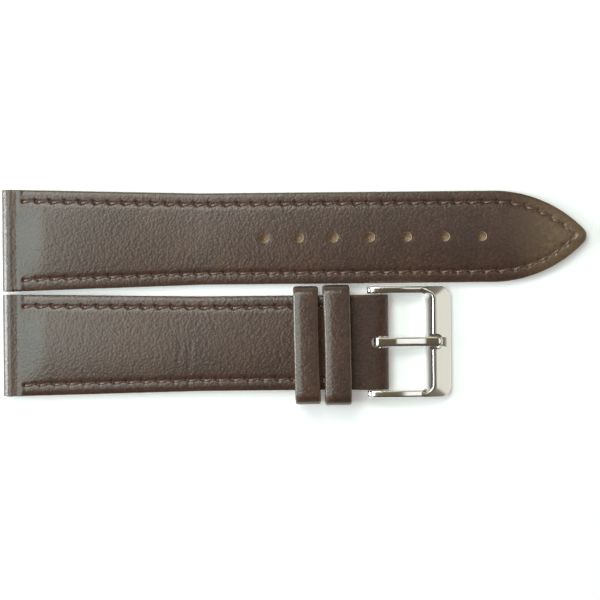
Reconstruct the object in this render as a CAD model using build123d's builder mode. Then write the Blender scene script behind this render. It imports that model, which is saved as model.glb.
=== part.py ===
from build123d import *
import math
import os

# A two-piece leather watch strap with a pin buckle and two keepers, in millimetres.
# The long piece lies beside the short one, both lug ends to the left, best side up.
# The origin is at the middle of the whole strap's box, on the surface it lies on.

# Plan sizes of the two leather pieces
long_length = 114.6
short_length = 75.5
lug_width = 19.9
lug_straight = 4.0
taper_length = 35.0
tail_width = 18.0
buckle_end_width = 18.6
tip_length = 17.5
tip_side_radius = 25.0
tip_nose_depth = 0.5
tip_nose_half_width = 1.3
piece_pitch = 20.5

# Leather layers
lining_thickness = 0.8
cover_thickness = 0.7
margin_fold = 0.6
filler_thickness = 1.3
filler_inset = 3.7
lining_inset = 0.35
edge_round = 0.45
pad_bevel = 0.5
pad_bevel_angle = 50

# Lug tunnels, for a spring bar of 1.8 mm
lug_bore_radius = 0.95
lug_wall = 0.65
turn_under = 3.4
pad_start = 3.5

# Stitching
stitch_inset = 2.25
stitch_pitch = 2.85
stitch_length = 2.25
stitch_width = 0.45
stitch_height = 0.33
bobbin_height = 0.26
stitch_slant = 7.0
stitch_round = 0.12
groove_width = 0.78
groove_depth = 0.3
row_start = 4.2

# Adjusting holes in the long piece, counted from the one nearest its tip
hole_diameter = 2.1
first_hole = 20.7
hole_pitch = 7.08
hole_step_shares = (0, 1.02, 2.07, 3.09, 4.10, 5.05, 6.00)

# Buckle bar: a sprung bar of 1.5 mm in the fold of the short piece
tube_radius = 0.75
tube_length = 18.0
tube_bore = 0.55
crimp_length = 0.5
crimp_radius = 0.42
tip_radius = 0.36
tip_flange_radius = 0.5
tip_flange_length = 0.8
tip_end_chamfer = 0.1
bar_play = 0.05
spring_coil_radius = 0.4
spring_wire_radius = 0.09
spring_pitch = 0.9

# Fold round the bar, and its slot for the tongue
fold_clearance = 0.1
fold_wall = 0.75
fold_ramp = 5.0
fold_return = 7.6
slot_width = 2.3
slot_reach = 1.8

# Buckle frame
gap_in_frame = 19.0
arm_width = 1.35
arm_height = 2.4
arm_reach = 2.6
window_length = 9.8
bar_slope = 0.9
ridge_height = 3.0
ridge_flat = 0.35
frame_reach = 14.0
frame_edge_height = 1.0
frame_foot = 0.1
frame_foot_inset = 0.3
frame_arch = 0.35
frame_corner = 1.5
window_corner = 1.2
tip_hole_radius = 0.4
tip_hole_depth = 0.9
notch_width = 3.1
notch_floor = 2.15
notch_reach = 12.4

# Tongue
tongue_width = 1.9
tongue_eye_wall = 0.55
tongue_thickness = 0.9
tongue_bend = 3.5
tongue_reach = 12.1
tongue_tip_play = 0.03
tongue_tip_round = 0.25

# Keepers: bands that go round the short piece
keeper_band = 5.2
keeper_wall = 0.8
keeper_lining = 0.3
keeper_under = 0.4
keeper_play = 0.1
keeper_room = 5.5
keeper_corner = 1.9
keeper_round = 0.45
keeper_drop = 0.4
fixed_keeper_width = 23.3
free_keeper_width = 22.9
fixed_keeper_to_bar = 5.8
keeper_gap = 0.8
tack_length = 1.1
tack_width = 0.45
tack_depth = 0.2
tack_recess = 0.03
tack_pitch = 1.3
tack_count = 3

# How far cuts run past what they cut
overrun = 1.0

# Heights
edge_thickness = cover_thickness + margin_fold
pad_rise = filler_thickness + cover_thickness - edge_thickness
short_base = keeper_under + keeper_lining + keeper_play
lug_radius = lug_bore_radius + lug_wall
fold_bore = tube_radius + fold_clearance
fold_radius = fold_bore + fold_wall
bar_height = short_base + fold_radius

# Places along X, from the left ends of both pieces
left_end = -long_length / 2
right_end = left_end + long_length
lug_centre = left_end + lug_radius
bar_x = left_end + short_length - fold_radius
fixed_keeper_x = bar_x - fixed_keeper_to_bar - keeper_band
free_keeper_x = fixed_keeper_x - keeper_gap - keeper_band
short_lining_end = bar_x - fold_return
short_row_end = short_lining_end - overrun
short_pad_end = free_keeper_x + keeper_band - keeper_corner

# Centre lines across Y, which put the whole strap's box in the middle
centre_sum = keeper_drop + fixed_keeper_width / 2 - lug_width / 2
long_centre = (piece_pitch + centre_sum) / 2
short_centre = long_centre - piece_pitch

# The tongue pin's axis, with local X along it and local Y upwards
bar_plane = Plane(origin=(bar_x, short_centre, bar_height), x_dir=(0, 1, 0), z_dir=(1, 0, 0))
bar_axis = Axis((bar_x, short_centre, bar_height), (0, 1, 0))


def side_plane(centre):
    """The upright plane along a piece's centre line: its local axes are the part's X and Z."""
    return Plane(origin=(0, centre, 0), x_dir=(1, 0, 0), z_dir=(0, -1, 0))


def long_plan(inset, start):
    """The long piece's plan, drawn in by inset, from start past its lug end."""
    half_lug = lug_width / 2
    half_tail = tail_width / 2
    shoulder = right_end - tip_length
    nose = right_end - tip_nose_depth
    taper_start = left_end + lug_straight
    with BuildSketch(Plane((0, long_centre, 0))) as whole:
        with BuildLine():
            Polyline(
                (shoulder, half_tail),
                (taper_start + taper_length, half_tail),
                (taper_start, half_lug),
                (left_end, half_lug),
                (left_end, -half_lug),
                (taper_start, -half_lug),
                (taper_start + taper_length, -half_tail),
                (shoulder, -half_tail),
            )
            RadiusArc((shoulder, -half_tail), (nose, -tip_nose_half_width), -tip_side_radius)
            ThreePointArc((nose, -tip_nose_half_width), (right_end, 0), (nose, tip_nose_half_width))
            RadiusArc((nose, tip_nose_half_width), (shoulder, half_tail), -tip_side_radius)
        make_face()
        if inset:
            offset(amount=-inset)
    return between(whole.sketch, left_end + start, right_end, long_centre)


def short_plan(inset, start, end):
    """The short piece's plan, drawn in by inset, from start past its lug end to X = end."""
    half_lug = lug_width / 2 - inset
    half_buckle = buckle_end_width / 2 - inset
    taper_start = left_end + lug_straight
    with BuildSketch(Plane((0, short_centre, 0))) as whole:
        with BuildLine():
            Polyline(
                (left_end, half_lug),
                (taper_start, half_lug),
                (taper_start + taper_length, half_buckle),
                (right_end, half_buckle),
                (right_end, -half_buckle),
                (taper_start + taper_length, -half_buckle),
                (taper_start, -half_lug),
                (left_end, -half_lug),
                close=True,
            )
        make_face()
    return between(whole.sketch, left_end + start, end, short_centre)


def between(plan, first, last, centre):
    """The stretch of a plan from X = first to X = last."""
    with BuildSketch() as stretch:
        add(plan)
        with Locations((first, centre)):
            Rectangle(last - first, lug_width, align=(Align.MIN, Align.CENTER), mode=Mode.INTERSECT)
    return stretch.sketch


def stitch_places(row):
    """Places of the stitches along one row, each turned a little off the row's line."""
    count = round(row.length / stitch_pitch)
    shares = [(k + 0.5) / count for k in range(count)]
    places = []
    for share in shares:
        point = row.position_at(share)
        along = row.tangent_at(share)
        angle = math.degrees(math.atan2(along.Y, along.X))
        places.append(Location((point.X, point.Y, 0), (0, 0, angle + stitch_slant)))
    return places


def rows_of(plan, centre):
    """The two rows of a piece: its plan's edges on each side of the centre line, in order."""
    ends = plan.edges().filter_by(Axis.Y)
    sides = [edge for edge in plan.edges() if edge not in ends]
    upper = [edge for edge in sides if edge.center().Y > centre]
    lower = [edge for edge in sides if edge.center().Y < centre]
    return [Wire(upper), Wire(lower)]


long_rows = rows_of(long_plan(stitch_inset, row_start), long_centre)
short_rows = rows_of(short_plan(stitch_inset, row_start, short_row_end), short_centre)
long_stitches = [place for row in long_rows for place in stitch_places(row)]
short_stitches = [place for row in short_rows for place in stitch_places(row)]
hole_places = [(right_end - first_hole - share * hole_pitch, long_centre) for share in hole_step_shares]


def lug_roll(centre, base):
    """The leather rolled round the lug tunnel, and its end turned in under the cover."""
    with BuildSketch(side_plane(centre)) as roll:
        with Locations((lug_centre, lug_radius)):
            Circle(lug_radius)
        with Locations((lug_centre, base)):
            Rectangle(turn_under - lug_radius, lining_thickness, align=(Align.MIN, Align.MIN))
    extrude(roll.sketch, amount=lug_width / 2, both=True)


def tunnel(centre, place, radius):
    """Bores a tunnel across a piece, for a bar."""
    with BuildSketch(side_plane(centre)) as bore:
        with Locations(place):
            Circle(radius)
    extrude(bore.sketch, amount=lug_width / 2 + overrun, both=True, mode=Mode.SUBTRACT)


def slab(plan, low, height):
    """One layer over a plan."""
    with BuildPart() as layer:
        with BuildSketch(Plane.XY.offset(low)):
            add(plan)
        extrude(amount=height)
    return layer.part


def margins(plan, low):
    """The turned edges of a cover: its plan with the upper edges rounded, but for the one at the lug end."""
    with BuildPart() as layer:
        add(slab(plan, low, edge_thickness))
        upper_edges = layer.edges().group_by(Axis.Z)[-1].sort_by(Axis.X)
        fillet(upper_edges[1:], edge_round)
    return layer.part


def pad(plan, low):
    """The part of a cover that its filler lifts over the margins, whose top is at low."""
    with BuildPart() as layer:
        add(slab(plan, low - cover_thickness, pad_rise - pad_bevel + cover_thickness))
        with BuildSketch(Plane.XY.offset(low + pad_rise - pad_bevel)):
            add(plan)
        extrude(amount=pad_bevel, taper=pad_bevel_angle)
    return layer.part


def cut_plan(plan, low, height):
    """Cuts a plan out of the part in hand."""
    with BuildSketch(Plane.XY.offset(low)) as cut:
        add(plan)
    extrude(cut.sketch, amount=height, mode=Mode.SUBTRACT)


def groove_plan(outer, inner):
    """The plan of a stitch groove, between two drawn-in outlines."""
    with BuildSketch() as groove:
        add(outer)
        add(inner, mode=Mode.SUBTRACT)
    return groove.sketch


def punch_holes(low, height):
    """The adjusting holes, through one layer of the long piece."""
    with BuildSketch(Plane.XY.offset(low)) as holes:
        with Locations(*hole_places):
            Circle(hole_diameter / 2)
    extrude(holes.sketch, amount=height, mode=Mode.SUBTRACT)


def thread(places, low, height):
    """One side's stitches, lying in their groove from low upwards."""
    with BuildPart() as stitches:
        with BuildSketch(Plane.XY.offset(low)):
            with Locations(*places):
                SlotOverall(stitch_length, stitch_width)
        extrude(amount=height)
        fillet(stitches.edges().group_by(Axis.Z)[-1], stitch_round)
    return stitches.part


groove_outer = stitch_inset - groove_width / 2
groove_inner = stitch_inset + groove_width / 2
groove_start = row_start - groove_width / 2
pad_inset = filler_inset - cover_thickness
filler_start = pad_start + cover_thickness
long_groove = groove_plan(long_plan(groove_outer, groove_start), long_plan(groove_inner, groove_start))
short_groove = groove_plan(
    short_plan(groove_outer, groove_start, short_row_end),
    short_plan(groove_inner, groove_start, short_row_end),
)

# Long piece
margin_top = lining_thickness + edge_thickness

with BuildPart() as long_cover:
    add(margins(long_plan(0, lug_radius), lining_thickness))
    add(pad(long_plan(pad_inset, pad_start), margin_top))
    lug_roll(long_centre, 0)
    tunnel(long_centre, (lug_centre, lug_radius), lug_bore_radius)
    cut_plan(long_plan(filler_inset, filler_start), lining_thickness, filler_thickness)
    cut_plan(long_groove, margin_top - groove_depth, groove_depth + overrun)
    punch_holes(lining_thickness, edge_thickness + pad_rise + overrun)

with BuildPart() as long_filler:
    add(slab(long_plan(filler_inset, filler_start), lining_thickness, filler_thickness))
    punch_holes(lining_thickness, filler_thickness)

with BuildPart() as long_lining:
    add(slab(long_plan(lining_inset, turn_under), 0, lining_thickness))
    cut_plan(long_groove, 0, groove_depth)
    punch_holes(0, lining_thickness)

long_top_stitches = thread(long_stitches, margin_top - groove_depth, stitch_height)
long_bobbin_stitches = thread(long_stitches, groove_depth - bobbin_height, bobbin_height)

# Short piece
short_margin_top = short_base + margin_top
short_filler_end = short_pad_end - cover_thickness

with BuildPart() as short_cover:
    add(margins(short_plan(0, lug_radius, bar_x), short_base + lining_thickness))
    add(pad(short_plan(pad_inset, pad_start, short_pad_end), short_margin_top))
    lug_roll(short_centre, short_base)
    with BuildSketch(side_plane(short_centre)):
        with Locations((bar_x, bar_height)):
            Circle(fold_radius)
        with BuildLine():
            Polyline(
                (short_lining_end, short_base),
                (bar_x, short_base),
                (bar_x, bar_height + fold_radius),
                (bar_x - fold_ramp, short_margin_top),
                (bar_x - fold_ramp, short_base + lining_thickness),
                (short_lining_end, short_base + lining_thickness),
                close=True,
            )
        make_face()
    extrude(amount=buckle_end_width / 2, both=True)
    tunnel(short_centre, (lug_centre, lug_radius), lug_bore_radius)
    tunnel(short_centre, (bar_x, bar_height), fold_bore)
    cut_plan(
        short_plan(filler_inset, filler_start, short_filler_end),
        short_base + lining_thickness,
        filler_thickness,
    )
    cut_plan(short_groove, short_margin_top - groove_depth, groove_depth + overrun)
    with BuildSketch(Plane.XY.offset(-overrun)):
        with Locations((bar_x - slot_reach, short_centre)):
            SlotOverall(2 * (slot_reach + fold_radius + overrun), slot_width, align=(Align.MIN, Align.CENTER))
    extrude(amount=bar_height + fold_radius + 2 * overrun, mode=Mode.SUBTRACT)

with BuildPart() as short_filler:
    filler_plan = short_plan(filler_inset, filler_start, short_filler_end)
    add(slab(filler_plan, short_base + lining_thickness, filler_thickness))

with BuildPart() as short_lining:
    add(slab(short_plan(lining_inset, turn_under, short_lining_end), short_base, lining_thickness))
    cut_plan(short_groove, short_base, groove_depth)

short_top_stitches = thread(short_stitches, short_margin_top - groove_depth, stitch_height)
short_bobbin_stitches = thread(short_stitches, short_base + groove_depth - bobbin_height, bobbin_height)


def loop_face(width, low, high, corner, mode=Mode.ADD):
    """A rounded rectangle in the sketch in hand, from low to high and centred across."""
    with Locations((0, low)):
        RectangleRounded(width, high - low, corner, align=(Align.CENTER, Align.MIN), mode=mode)


def tack_row(x, length, width, low, height, mode=Mode.ADD):
    """The row of tacks that closes a keeper underneath, or the pockets they lie in."""
    with BuildSketch(Plane((x, keeper_centre, low))) as row:
        with GridLocations(tack_pitch, tack_pitch, tack_count, 1):
            SlotOverall(length, width, rotation=90)
    extrude(row.sketch, amount=height, mode=mode)


# Keepers: an outer band, a lining inside it and the tacks that close it underneath
keeper_centre = short_centre - keeper_drop
keeper_walls = keeper_wall + keeper_lining
pieces = {}
for name, start, width, play in (
    ("fixed_keeper", fixed_keeper_x, fixed_keeper_width, 0),
    ("free_keeper", free_keeper_x, free_keeper_width, keeper_play),
):
    inner_low = short_base - play
    inner_high = short_base + keeper_room
    low = inner_low - keeper_lining - keeper_under
    high = inner_high + keeper_walls
    section = Plane(origin=(start, keeper_centre, 0), x_dir=(0, 1, 0), z_dir=(1, 0, 0))
    lining_outside = (
        width - 2 * keeper_wall,
        inner_low - keeper_lining,
        inner_high + keeper_lining,
        keeper_corner - keeper_wall,
    )
    lining_inside = (width - 2 * keeper_walls, inner_low, inner_high, keeper_corner - keeper_walls)
    middle_x = start + keeper_band / 2

    with BuildPart() as cover:
        with BuildSketch(section):
            loop_face(width, low, high, keeper_corner)
        extrude(amount=keeper_band)
        ends = cover.edges().group_by(Axis.X)
        fillet(ends[0] + ends[-1], keeper_round)
        with BuildSketch(section):
            loop_face(*lining_outside)
        extrude(amount=keeper_band, mode=Mode.SUBTRACT)
        tack_row(middle_x, tack_length, tack_width, low, tack_depth, Mode.SUBTRACT)

    with BuildPart() as lining:
        with BuildSketch(section):
            loop_face(*lining_outside)
            loop_face(*lining_inside, mode=Mode.SUBTRACT)
        extrude(amount=keeper_band)

    with BuildPart() as tacks:
        tack_size = (tack_length - 2 * tack_recess, tack_width - 2 * tack_recess)
        tack_row(middle_x, *tack_size, low + tack_recess, tack_depth - tack_recess)

    pieces[name + "_cover"] = cover.part
    pieces[name + "_lining"] = lining.part
    pieces[name + "_stitches"] = tacks.part

# Buckle frame: two arms that reach back past the bar, and an end bar that slopes outwards
frame_width = gap_in_frame + 2 * arm_width
arm_radius = arm_height / 2
arm_end = bar_x - arm_reach + arm_radius
frame_end = bar_x + frame_reach
window_end = bar_x + window_length
ridge_x = window_end + bar_slope + ridge_flat

with BuildPart() as buckle_frame:
    with BuildSketch(side_plane(short_centre)):
        with BuildLine():
            upper_start = (arm_end, bar_height + arm_radius)
            lower_start = (arm_end, bar_height - arm_radius)
            ridge_start = (ridge_x - ridge_flat, ridge_height)
            foot = (frame_end - frame_foot_inset, frame_foot)
            SagittaArc(upper_start, ridge_start, -frame_arch)
            Line(ridge_start, (ridge_x, ridge_height))
            Line((ridge_x, ridge_height), (frame_end, frame_edge_height))
            Line((frame_end, frame_edge_height), foot)
            Line(foot, (window_end, frame_foot))
            SagittaArc((window_end, frame_foot), lower_start, frame_arch)
            ThreePointArc(lower_start, (bar_x - arm_reach, bar_height), upper_start)
        make_face()
    extrude(amount=frame_width / 2, both=True)
    with BuildSketch(Plane.XY):
        with BuildLine():
            left = arm_end - arm_height
            right = frame_end
            half = frame_width / 2
            FilletPolyline(
                (left, short_centre - half),
                (right, short_centre - half),
                (right, short_centre + half),
                (left, short_centre + half),
                radius=frame_corner,
            )
            Line((left, short_centre + half), (left, short_centre - half))
        make_face()
    extrude(amount=bar_height + arm_height, mode=Mode.INTERSECT)
    with BuildSketch(Plane.XY.offset(-overrun)):
        with BuildLine():
            left = arm_end - arm_height - overrun
            half = gap_in_frame / 2
            FilletPolyline(
                (left, short_centre - half),
                (window_end, short_centre - half),
                (window_end, short_centre + half),
                (left, short_centre + half),
                radius=window_corner,
            )
            Line((left, short_centre + half), (left, short_centre - half))
        make_face()
    extrude(amount=bar_height + arm_height + overrun, mode=Mode.SUBTRACT)
    with BuildSketch(side_plane(short_centre)):
        with BuildLine():
            Polyline(
                (window_end, bar_height / 2),
                (window_end + bar_slope, ridge_height),
                (window_end + bar_slope, ridge_height + overrun),
                (window_end, ridge_height + overrun),
                close=True,
            )
        make_face()
    extrude(amount=gap_in_frame / 2 - window_corner / 2, both=True, mode=Mode.SUBTRACT)
    with BuildSketch(Plane.XY.offset(notch_floor)):
        with Locations((bar_x + notch_reach, short_centre)):
            SlotOverall(2 * notch_width, notch_width, align=(Align.MAX, Align.CENTER))
    extrude(amount=ridge_height, mode=Mode.SUBTRACT)
    with BuildSketch(bar_plane):
        with BuildLine():
            hole_end = gap_in_frame / 2 + tip_hole_depth
            Polyline(
                (-hole_end, 0),
                (-hole_end, tip_hole_radius),
                (hole_end, tip_hole_radius),
                (hole_end, 0),
                close=True,
            )
        make_face()
    revolve(axis=bar_axis, mode=Mode.SUBTRACT)

# Tongue: an eye round the bar, and a flat shank that lies in the frame's notch
tongue_eye = tube_radius + bar_play
tongue_eye_outer = tongue_eye + tongue_eye_wall
tongue_tip_low = notch_floor + tongue_tip_play
tongue_top = bar_height + tongue_eye_outer

with BuildPart() as buckle_tongue:
    with BuildSketch(side_plane(short_centre)):
        with Locations((bar_x, bar_height)):
            Circle(tongue_eye_outer)
        with BuildLine():
            Polyline(
                (bar_x, tongue_top),
                (bar_x + tongue_bend, tongue_top),
                (bar_x + tongue_reach, tongue_tip_low + tongue_thickness),
                (bar_x + tongue_reach, tongue_tip_low),
                (bar_x + tongue_bend, tongue_top - tongue_thickness),
                (bar_x, tongue_top - tongue_thickness),
                close=True,
            )
        make_face()
        with Locations((bar_x, bar_height)):
            Circle(tongue_eye, mode=Mode.SUBTRACT)
    extrude(amount=tongue_width / 2, both=True)
    tip_edges = buckle_tongue.edges().group_by(Axis.X)[-1]
    fillet(tip_edges.filter_by(Axis.Y).sort_by(Axis.Z)[-1:], tongue_tip_round)

# Buckle bar: a tube with crimped ends, a spring inside and a sprung tip at each end
tube_half = tube_length / 2
flange_outer = tube_half - crimp_length - bar_play
flange_inner = flange_outer - tip_flange_length
tip_reach = gap_in_frame / 2 + tip_hole_depth - bar_play
spring_length = 2 * (flange_inner - bar_play)

with BuildPart() as bar_tube:
    with BuildSketch(bar_plane):
        with BuildLine():
            Polyline(
                (-tube_half, crimp_radius),
                (-tube_half, tube_radius),
                (tube_half, tube_radius),
                (tube_half, crimp_radius),
                (tube_half - crimp_length, crimp_radius),
                (tube_half - crimp_length, tube_bore),
                (crimp_length - tube_half, tube_bore),
                (crimp_length - tube_half, crimp_radius),
                close=True,
            )
        make_face()
    revolve(axis=bar_axis)

tips = []
for side in (-1, 1):
    with BuildPart() as tip:
        with BuildSketch(bar_plane):
            with BuildLine():
                Polyline(
                    (side * flange_inner, 0),
                    (side * flange_inner, tip_flange_radius),
                    (side * flange_outer, tip_flange_radius),
                    (side * flange_outer, tip_radius),
                    (side * (tip_reach - tip_end_chamfer), tip_radius),
                    (side * tip_reach, tip_radius - tip_end_chamfer),
                    (side * tip_reach, 0),
                    close=True,
                )
            make_face()
        revolve(axis=bar_axis)
    tips.append(tip.part)

with BuildPart() as bar_spring:
    with BuildLine() as coil:
        Helix(
            pitch=spring_pitch,
            height=spring_length,
            radius=spring_coil_radius,
            center=(bar_x, short_centre - spring_length / 2, bar_height),
            direction=(0, 1, 0),
        )
    with BuildSketch(Plane(origin=coil.line @ 0, z_dir=coil.line % 0)):
        Circle(spring_wire_radius)
    sweep(path=coil.line, is_frenet=True)

pieces.update(
    long_cover=long_cover.part,
    long_filler=long_filler.part,
    long_lining=long_lining.part,
    long_top_stitches=long_top_stitches,
    long_bobbin_stitches=long_bobbin_stitches,
    short_cover=short_cover.part,
    short_filler=short_filler.part,
    short_lining=short_lining.part,
    short_top_stitches=short_top_stitches,
    short_bobbin_stitches=short_bobbin_stitches,
    buckle_frame=buckle_frame.part,
    buckle_tongue=buckle_tongue.part,
    bar_tube=bar_tube.part,
    bar_tip_near=tips[0],
    bar_tip_far=tips[1],
    bar_spring=bar_spring.part,
)

os.makedirs("parts", exist_ok=True)
for name, piece in pieces.items():
    piece.label = name
    export_step(piece, "parts/" + name + ".step")

print("bar axis at X", round(bar_x, 3), "Y", round(short_centre, 3), "Z", round(bar_height, 3))
print("long centre line at Y", round(long_centre, 3))
print("least gap between the spring's turns", round(spring_pitch - 2 * spring_wire_radius, 3))
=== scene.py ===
"""A two-piece leather watch strap with a pin buckle and two keepers, laid out flat, best side up."""

import math
import random
from collections import namedtuple
from types import SimpleNamespace

import bmesh
import bpy
from bpy.props import FloatProperty, FloatVectorProperty, PointerProperty
from mathutils import Matrix, Vector
from mathutils.kdtree import KDTree


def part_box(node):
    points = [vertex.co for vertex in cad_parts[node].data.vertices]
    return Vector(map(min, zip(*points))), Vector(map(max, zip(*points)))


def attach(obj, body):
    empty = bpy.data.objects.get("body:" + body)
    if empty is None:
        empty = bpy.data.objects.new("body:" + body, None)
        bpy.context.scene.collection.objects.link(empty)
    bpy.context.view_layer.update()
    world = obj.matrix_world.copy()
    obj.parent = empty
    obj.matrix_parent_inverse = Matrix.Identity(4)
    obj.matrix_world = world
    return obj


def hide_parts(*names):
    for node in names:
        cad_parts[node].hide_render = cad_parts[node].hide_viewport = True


bl_info = {
    "name": "Leather watch strap",
    "version": (1, 0, 0),
    "blender": (4, 5, 0),
    "location": "View3D > Sidebar > Strap",
    "description": "Builds the leather, stitching, keepers and pin buckle of a watch strap",
    "category": "Object",
}

MM = 0.001
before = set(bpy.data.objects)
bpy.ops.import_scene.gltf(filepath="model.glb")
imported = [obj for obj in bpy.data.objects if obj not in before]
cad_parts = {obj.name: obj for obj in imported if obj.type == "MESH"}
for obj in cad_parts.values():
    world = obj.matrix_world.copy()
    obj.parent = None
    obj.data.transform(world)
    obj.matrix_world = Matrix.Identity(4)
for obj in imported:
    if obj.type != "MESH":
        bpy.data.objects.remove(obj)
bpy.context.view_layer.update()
long_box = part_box("long_cover")
short_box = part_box("short_cover")


def linear(colour):
    """An sRGB hex colour as linear red, green, blue and alpha."""
    shares = [int(colour[k : k + 2], 16) / 255 for k in (1, 3, 5)]
    return (*[s / 12.92 if s <= 0.04045 else ((s + 0.055) / 1.055) ** 2.4 for s in shares], 1)


def length_setting(name, description, millimetres):
    """A length that a user can change."""
    return FloatProperty(name=name, description=description, default=millimetres * MM, unit="LENGTH")


def colour_setting(name, description, colour):
    """A colour that a user can change."""
    return FloatVectorProperty(name=name, description=description, subtype="COLOR", size=4, default=linear(colour))


class StrapSizes(bpy.types.PropertyGroup):
    """Plan sizes and heights of the two leather pieces."""

    lug_width: length_setting("Lug width", "Width at the watch", 19.9)
    tail_width: length_setting("Tail width", "Width of the long piece past its taper", 18.0)
    buckle_end_width: length_setting("Buckle end width", "Width of the short piece at its buckle", 18.6)
    taper_start: length_setting("Taper start", "Length that keeps the lug width", 4.0)
    taper_length: length_setting("Taper length", "Length over which the sides draw in", 35.0)
    tip_length: length_setting("Tip length", "Length of the pointed tip", 17.5)
    tip_side_radius: length_setting("Tip side radius", "Curve of the tip's two sides", 25.0)
    nose_half_width: length_setting("Nose half width", "Half of the tip's rounded nose", 1.3)
    nose_depth: length_setting("Nose depth", "Length of the tip's rounded nose", 0.5)
    lining_height: length_setting("Lining", "Thickness of the lining leather", 0.8)
    lining_inset: length_setting("Lining inset", "How far the lining stands back from the edge", 0.35)
    margin_height: length_setting("Margin", "Thickness of the turned edge", 1.3)
    margin_fall: length_setting("Margin fall", "How far the margin falls towards its edge", 0.21)
    pad_rise: length_setting("Pad", "How far the filler lifts the pad over the margin", 0.5)
    pad_crown: length_setting("Crown", "How much of the pad's height comes as a slow crown", 0.43)
    lug_radius: length_setting("Lug roll", "Radius of the roll at the lug end", 1.6)
    lug_bore: length_setting("Lug tunnel", "Radius of the tunnel for the spring bar", 0.95)
    hole_width: length_setting("Hole width", "Width of an adjusting hole", 2.1)
    first_hole: length_setting("First hole", "From the tip to the nearest hole", 20.7)
    hole_pitch: length_setting("Hole pitch", "Step between the adjusting holes", 7.08)


class StitchSizes(bpy.types.PropertyGroup):
    """Sizes of the stitching."""

    inset: length_setting("Row inset", "From the edge to the stitch row", 2.25)
    groove: length_setting("Groove depth", "How far the row is drawn into the leather", 0.11)
    dimple: length_setting("Needle hole depth", "How far each needle hole dips below the groove", 0.32)
    pucker: length_setting("Pucker", "How far the margin is drawn down beside each needle hole", 0.006)
    thread: length_setting("Thread", "Width of the thread", 0.46)
    tack: length_setting("Tack length", "Length of a keeper's tacks", 1.05)


class KeeperSizes(bpy.types.PropertyGroup):
    """Sizes of the keeper bands."""

    wall: length_setting("Band", "Thickness of the outer leather", 0.8)
    lining: length_setting("Backing", "Thickness of its lining", 0.3)
    corner: length_setting("Corner", "Outer radius of its bends", 1.9)
    dome: length_setting("Dome", "How far its middle swells", 0.13)
    lean: length_setting("Lean", "How far its far end stands to the left", 0.3)


class BuckleSizes(bpy.types.PropertyGroup):
    """Sizes of the buckle's frame and tongue."""

    frame_gap: length_setting("Gap", "Between the frame's arms", 19.0)
    window: length_setting("Window", "From the bar to the end of the window", 8.95)
    window_corner: length_setting("Window corner", "Radius in the window's corners", 1.2)
    frame_corner: length_setting("Frame corner", "Radius of the frame's outer corners", 2.2)
    arm_round: length_setting("Arm end", "Radius of the rounded arm ends", 1.2)
    arm_top: length_setting("Arm top", "Height of the arms", 3.6)
    ridge_top: length_setting("Ridge", "Height of the end bar's ridge", 3.0)
    arch: length_setting("Arch", "How far the arms arch upwards", 0.35)
    notch_floor: length_setting("Notch", "Height of the notch's floor", 2.15)
    tongue_width: length_setting("Tongue", "Width of the tongue", 1.9)
    eye_wall: length_setting("Eye", "Thickness of the tongue's eye", 0.55)
    tip_top: length_setting("Tip", "Height of the tongue's tip in its notch", 3.08)


class StrapColours(bpy.types.PropertyGroup):
    """Colours of the finishes."""

    leather: colour_setting("Leather", "Main brown of the cover", "#51372b")
    leather_dark: colour_setting("Dark leather", "Dark side of the dye's mottle", "#442e26")
    # Painted shade: the grain's valleys are painted this near black, partly dye and partly shade
    leather_grain_dye_and_shade: colour_setting("Grain", "Near black of the grain's valleys", "#211611")
    # Painted light: this olive is painted on the top edges and the tip, partly as rubbing and partly as a highlight on
    # the edges and warm light falling on the tip
    leather_worn_and_lit: colour_setting("Worn leather", "Rubbed edges", "#6b5640")
    lining: colour_setting("Lining", "Tan of the lining leather", "#a58a6c")
    raw_edge: colour_setting("Cut leather", "Undyed leather inside the holes", "#b69e84")
    thread: colour_setting("Thread", "Rose brown of the thread", "#7b5c53")
    steel: colour_setting("Steel", "Warm white of polished steel", "#e9e5db")


# The shape of the leather in millimetres, where it isn't a setting

# The step between cross-sections, the cover's thickness where it is single, and the gap at the lining's ends
SECTION_STEP = 0.24
COVER = 0.75
LINING_GAP = 0.03
# From the lug end: the flat part's start, the turned-in end's end, and the end of the lift next to the roll
LUG_FLAT, TURN_UNDER, LIFT_END = 2.7, 3.4, 38
# How far the flat part stays under the roll's top, the crease between them, and the roll's last angle in degrees
LUG_DROP, LUG_CREASE, LUG_CREASE_WIDTH = 0.06, 0.07, 0.3
ROLL_END = 86
# Rings of points round a piece. Those of the edge: how far in from its outline, and the level from 0 underneath to 1 on
# top. Those on top: how far in, as far as the deepest. And from there on: the share of the way to the middle line
DEEP = 3.7
EDGE_RINGS = (
    (1.5, 0), (0.6, 0), (0.22, 0), (0.06, 0.07), (0, 0.25), (0, 0.62), (0.05, 0.81), (0.18, 0.94), (0.42, 1),
)
TOP_RINGS = (0.8, 1.2, 1.52, 1.76, 1.93, 2.06, 2.16, 2.25, 2.34, 2.44, 2.57, 2.74, 2.95, 3.2, 3.45, DEEP)
MIDDLE_SHARES = (0.1, 0.22, 0.35, 0.48, 0.6, 0.7, 0.77, 0.83, 0.88, 0.94, 1)
# The leather next to the stitches: a needle hole's radius, and the groove's half width on the best side and the lining
NEEDLE_RADIUS = 0.28
GROOVE_WIDTH, LINING_GROOVE_WIDTH = 0.33, 0.27
# The pucker beside a needle hole: its half width, and how far in from the outline it starts and is full
PUCKER_WIDTH = 0.42
PUCKER_START, PUCKER_FULL = 0.5, 1.4
# How far the margin swells between the edge and the groove, and where that starts and ends
MARGIN_SWELL = 0.07
SWELL_START, SWELL_END = 0.3, 2
# How far in from the edge the margin's fall starts, and how far in from the outline it is over
FALL_START, FALL_END = 0.3, 2.05
# How far in the edge gets narrower where the leather is thinner
EDGE_DEPTH = 1
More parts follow.
